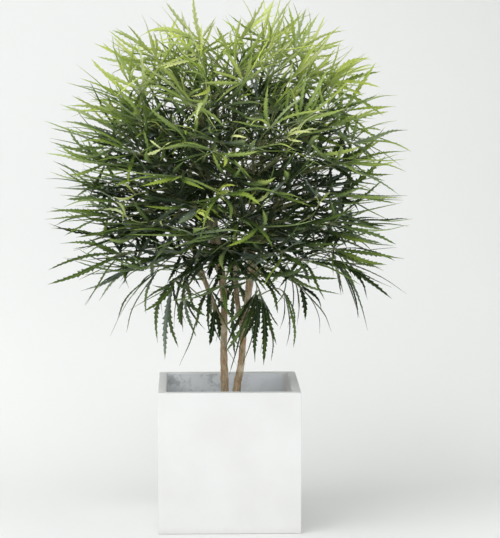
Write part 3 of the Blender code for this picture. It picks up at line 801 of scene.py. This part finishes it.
def stalk_to(hub, points, chance):
    """A leaf stalk from the cane below the hub, out and up to it."""
    aim = hub - points * FOOT_BACK - Vector((0, 0, FOOT_DOWN)) - Vector((hub.x, hub.y, 0)) * FOOT_INWARD
    foot, _, _ = canes.find(aim)
    long = (hub - foot).length
    out = Vector((hub.x - foot.x, hub.y - foot.y, 0)).normalized()
    first = foot + (out + Vector((0, 0, 0.7))).normalized() * long * 0.35
    last = hub - points * long * 0.25
    return [foot * (1 - t) ** 3 + first * 3 * t * (1 - t) ** 2 + last * 3 * t * t * (1 - t) + hub * t ** 3
            for t in (0, 0.2, 0.4, 0.6, 0.8, 1)]


for number in range(FILLING_LEAVES):
    chance = random.Random(f"filling {number}")
    inner = number % INNER_EACH == 0
    best = None
    for _ in range(TRIES):
        turn = chance.uniform(0, math.tau)
        if inner:
            lift = chance.uniform(*INNER_LIFT)
            out = chance.uniform(*INNER_OUT)
        else:
            lift = 0.98 - 1.86 * chance.random() ** 1.5
            out = chance.choice(OUTER_OUT)
            out += OUTER_FURTHER * max(0.0, lift)
        rise = math.asin(lift)
        girth = math.cos(rise) ** (0.85 if rise > 0 else 0.40)
        hub = CROWN_MIDDLE + Vector((
            math.cos(turn) * girth * CROWN_HALF_WIDTH * out,
            math.sin(turn) * girth * CROWN_HALF_WIDTH * out,
            lift * CROWN_HALF_HEIGHT * out,
        ))
        room = min((hub - other).length for other in hubs)
        if best is None or room > best[0]:
            best = (room, hub, turn, rise, lift)
    _, hub, turn, rise, lift = best
    hubs.append(hub)
    height = max(0.0, lift)
    climb = rise * (0.85 if rise > 0 else 0.30) + 0.12
    climb += chance.uniform(-0.3, 0.8) * inner + chance.uniform(-0.45, 0.25) * height
    spread = math.radians(SPREAD - NARROWER_TOP * height)
    if height > PARASOL_HEIGHT and chance.random() < PARASOLS:
        # some at the top lie flat, like a parasol
        climb = chance.uniform(-0.1, 0.6)
        spread = math.radians(PARASOL_SPREAD)
    points = towards(turn + chance.uniform(-0.35, 0.35) * (1 + 1.8 * height), climb)
    upward = Vector((0, 0, 1))
    normal = (upward - upward.dot(points) * points).normalized()
    normal = Matrix.Rotation(chance.uniform(-0.6, 0.6) * (1 + 1.6 * height), 3, points) @ normal
    leaflets = fan(
        hub, points, normal, chance.choice(FILLING_LEAFLETS),
        FILLING_LENGTH * (1 - SHORTER_TOP * height) * chance.uniform(*FILLING_LENGTHS),
        spread, math.radians(chance.uniform(-8, 10)),
        math.radians(chance.uniform(-34, 16) + chance.uniform(0, 70) * height), chance,
    )
    bones = {"stalk": stalk_to(hub, points, chance), "leaflets": leaflets}
    grow_leaf(f"filling_spray_{number + 1:03d}", bones, age_and_shade_at(hub, chance), leaf_green,
              stoutness=FILLING_STOUTNESS - height * chance.uniform(*SLIMMER_TOP))

# ----------------------------------------------------------------------- hanging leaves
# The oldest leaves, at the foot of the crown: dark bunches of few leaflets that hang
# before the stems, a long arching one at either side, and short wide ones round the forks.
HANGING_STOUTNESS = 1.1
HANGING_LEAVES = [
    # hub above the rim, heading and climb, length, number of leaflets, spread and arc
    ((0.056, -0.105, 0.205), (228, -46), 0.172, 5, 30, 14),
    ((0.068, -0.078, 0.192), (300, -76), 0.155, 7, 44, 16),
    ((0.150, -0.060, 0.212), (335, -34), 0.135, 4, 26, 46),
    ((-0.044, -0.062, 0.206), (205, -72), 0.185, 3, 15, 10),
    ((-0.030, -0.070, 0.168), (262, -84), 0.140, 2, 8, 6),
    ((0.215, -0.035, 0.268), (352, -12), 0.180, 6, 34, 34),
    ((-0.165, -0.020, 0.262), (186, -14), 0.178, 6, 30, 14),
    ((-0.025, -0.080, 0.285), (215, -30), 0.115, 8, 96, 14),
    ((0.030, -0.085, 0.292), (320, -32), 0.115, 8, 96, 14),
    ((-0.075, -0.055, 0.300), (225, -20), 0.115, 8, 100, 6),
    ((0.085, -0.055, 0.300), (310, -20), 0.115, 8, 100, 6),
    ((0.000, -0.100, 0.300), (265, -50), 0.120, 9, 110, 8),
    ((0.030, 0.070, 0.290), (80, -30), 0.120, 8, 100, 10),
    ((-0.030, 0.075, 0.300), (110, -30), 0.120, 8, 100, 10),
]

for number, (hub, points, length, count, spread, arc) in enumerate(HANGING_LEAVES, 1):
    chance = random.Random(f"hanging {number}")
    hub = Vector(hub) + Vector((0, 0, rim))
    turn, climb = (math.radians(a) for a in points)
    points = towards(turn, climb)
    normal = (Vector((0, 0, 1)) - points.z * points).normalized()
    normal = Matrix.Rotation(chance.uniform(-0.5, 0.5), 3, points) @ normal
    leaflets = fan(
        hub, points, normal, count, length, math.radians(spread),
        math.radians(4), math.radians(arc), chance,
    )
    bones = {"stalk": stalk_to(hub, points, chance), "leaflets": leaflets}
    grow_leaf(f"hanging_spray_{number}", bones, 1.0, leaf_green, stoutness=HANGING_STOUTNESS)

# ------------------------------------------------------------------------- young leaves
# New leaves open among the old ones at the front and top: a short stalk and a few thick,
# soft, pale leaflets still curled in on themselves.
YOUNG_LEAVES = 20
YOUNG_LEAFLETS = (2, 3, 4)
YOUNG_LENGTHS = (0.065, 0.105)
YOUNG_CURL = (60, 150)  # in degrees, from foot to tip
YOUNG_AGES = (-0.30, -0.02)
YOUNG_STOUTNESS, YOUNG_NOTCH = 0.50, 0.66

for number in range(YOUNG_LEAVES):
    chance = random.Random(f"young {number}")
    turn = math.radians(-90 + chance.uniform(-62, 62)) + (number % 4 == 3) * math.pi
    lift = chance.uniform(-0.26, 0.45)
    out = chance.uniform(0.50, 0.78)
    hub = CROWN_MIDDLE + Vector((
        math.cos(turn) * CROWN_HALF_WIDTH * out, math.sin(turn) * CROWN_HALF_WIDTH * out,
        lift * CROWN_HALF_HEIGHT * 0.8,
    ))
    points = towards(turn + chance.uniform(-0.9, 0.9), chance.uniform(-0.2, 1.3))
    normal = points.orthogonal().normalized()
    normal = Matrix.Rotation(chance.uniform(0, math.tau), 3, points) @ normal
    leaflets = fan(
        hub, points, normal, chance.choice(YOUNG_LEAFLETS), chance.uniform(*YOUNG_LENGTHS),
        math.radians(30), math.radians(-8), math.radians(chance.uniform(*YOUNG_CURL)), chance,
    )
    bones = {"stalk": stalk_to(hub, points, chance), "leaflets": leaflets}
    grow_leaf(f"young_spray_{number + 1:02d}", bones, chance.uniform(*YOUNG_AGES), leaf_green,
              stoutness=YOUNG_STOUTNESS, notch=YOUNG_NOTCH)

# ------------------------------------------------------------- floor, light and camera
# A seamless white sweep, wide soft light from the upper left, and a long lens set low.
SWEEP_FRONT, SWEEP_BACK, SWEEP_RADIUS, SWEEP_TOP = -4.0, 1.6, 1.2, 5.0
SWEEP_HALF_WIDTH = 6.0
SWEEP_STEPS = 24  # round the curve
# painted light: the paper is coloured paler at the left, where the key light falls, than at the right,
# and paler still on the floor, against the shadow and fall-off there
PAPER_LEFT, PAPER_RIGHT = (0.774, 0.781, 0.775), (0.722, 0.730, 0.718)
PAPER_LOW = (0.800, 0.808, 0.800)
ROOM_LIGHT, ROOM_STRENGTH = (0.98, 1.0, 1.0), 0.28

profile = [(SWEEP_FRONT, 0.0), (SWEEP_BACK - SWEEP_RADIUS, 0.0)]
for step in range(1, SWEEP_STEPS + 1):
    angle = math.pi / 2 * step / SWEEP_STEPS
    profile.append((SWEEP_BACK - SWEEP_RADIUS + SWEEP_RADIUS * math.sin(angle),
                    SWEEP_RADIUS * (1 - math.cos(angle))))
profile.append((SWEEP_BACK, SWEEP_TOP))
mesh = bpy.data.meshes.new("sweep")
mesh.from_pydata([(x, y, z) for y, z in profile for x in (-SWEEP_HALF_WIDTH, SWEEP_HALF_WIDTH)], [],
                 [(2 * i, 2 * i + 1, 2 * i + 3, 2 * i + 2) for i in range(len(profile) - 1)])
mesh.shade_smooth()
paper, tree, shader = new_material("backdrop_paper", 0.95, 0.0)
place = node(tree, "ShaderNodeSeparateXYZ", Vector=node(tree, "ShaderNodeTexCoord").outputs["Object"])
# painted light: paler to the left and on the floor
tone = blend_colours(tree, step_between(tree, place.outputs[0], -0.1, 1.0), PAPER_LEFT, PAPER_RIGHT)
tone = blend_colours(tree, step_between(tree, place.outputs[2], 0.75, 0.02), tone, PAPER_LOW)
tree.links.new(tone, shader.inputs["Base Color"])
# seen from behind, the sweep is clear
back = tree.nodes.new("ShaderNodeNewGeometry").outputs["Backfacing"]
clear = tree.nodes.new("ShaderNodeBsdfTransparent").outputs[0]
either = node(tree, "ShaderNodeMixShader", _0=back, _1=shader.outputs[0], _2=clear)
tree.links.new(either.outputs[0], tree.nodes["Material Output"].inputs["Surface"])
mesh.materials.append(paper)
sweep = bpy.data.objects.new("sweep", mesh)
bpy.context.scene.collection.objects.link(sweep)

world = bpy.data.worlds.new("studio")
world.use_nodes = True
world.node_tree.nodes["Background"].inputs[0].default_value = (*ROOM_LIGHT, 1)
world.node_tree.nodes["Background"].inputs[1].default_value = ROOM_STRENGTH
bpy.context.scene.world = world


def softbox(name, place, aim, size, watts):
    """A rectangular lamp of this width and height that faces its aim."""
    light = bpy.data.lights.new(name, "AREA")
    light.shape = "RECTANGLE"
    light.size, light.size_y = size
    light.energy = watts
    lamp = bpy.data.objects.new(name, light)
    lamp.location = place
    lamp.rotation_euler = (Vector(aim) - Vector(place)).to_track_quat("-Z", "Y").to_euler()
    bpy.context.scene.collection.objects.link(lamp)


softbox("key", (-2.8, -2.6, 3.4), (0, 0, 0.7), (4.4, 4.4), 151)
softbox("overhead", (0.0, -0.3, 3.6), (0, 0, 0.6), (4.0, 4.0), 46)
softbox("backdrop_left", (-3.0, -0.6, 1.6), (-1.2, 1.6, 0.8), (1.0, 2.0), 10)
softbox("front", (0.6, -5.4, 1.9), (0, 0, 0.4), (3.0, 2.0), 40)
softbox("planter_mouth", (0.9, -2.5, 0.80), (0.03, 0.13, 0.27), (0.8, 0.6), 5.5)
softbox("floor_right", (1.8, -0.9, 0.6), (0.50, 0.35, 0.0), (1.0, 1.0), 9)

bpy.context.scene.view_settings.view_transform = "Standard"

CAMERA_PLACE = Vector((-0.0847, -5.15, 1.0907))
CAMERA_TURN, CAMERA_DIP = 0.0254, 0.1059
LENS, FILM_WIDTH = 162.4, 36.0
lens = bpy.data.cameras.new("camera")
lens.lens = LENS
lens.sensor_width = FILM_WIDTH
camera = bpy.data.objects.new("camera", lens)
camera.location = CAMERA_PLACE
camera.rotation_euler = (math.pi / 2 - CAMERA_DIP, 0, -CAMERA_TURN)
bpy.context.scene.collection.objects.link(camera)
bpy.context.scene.camera = camera
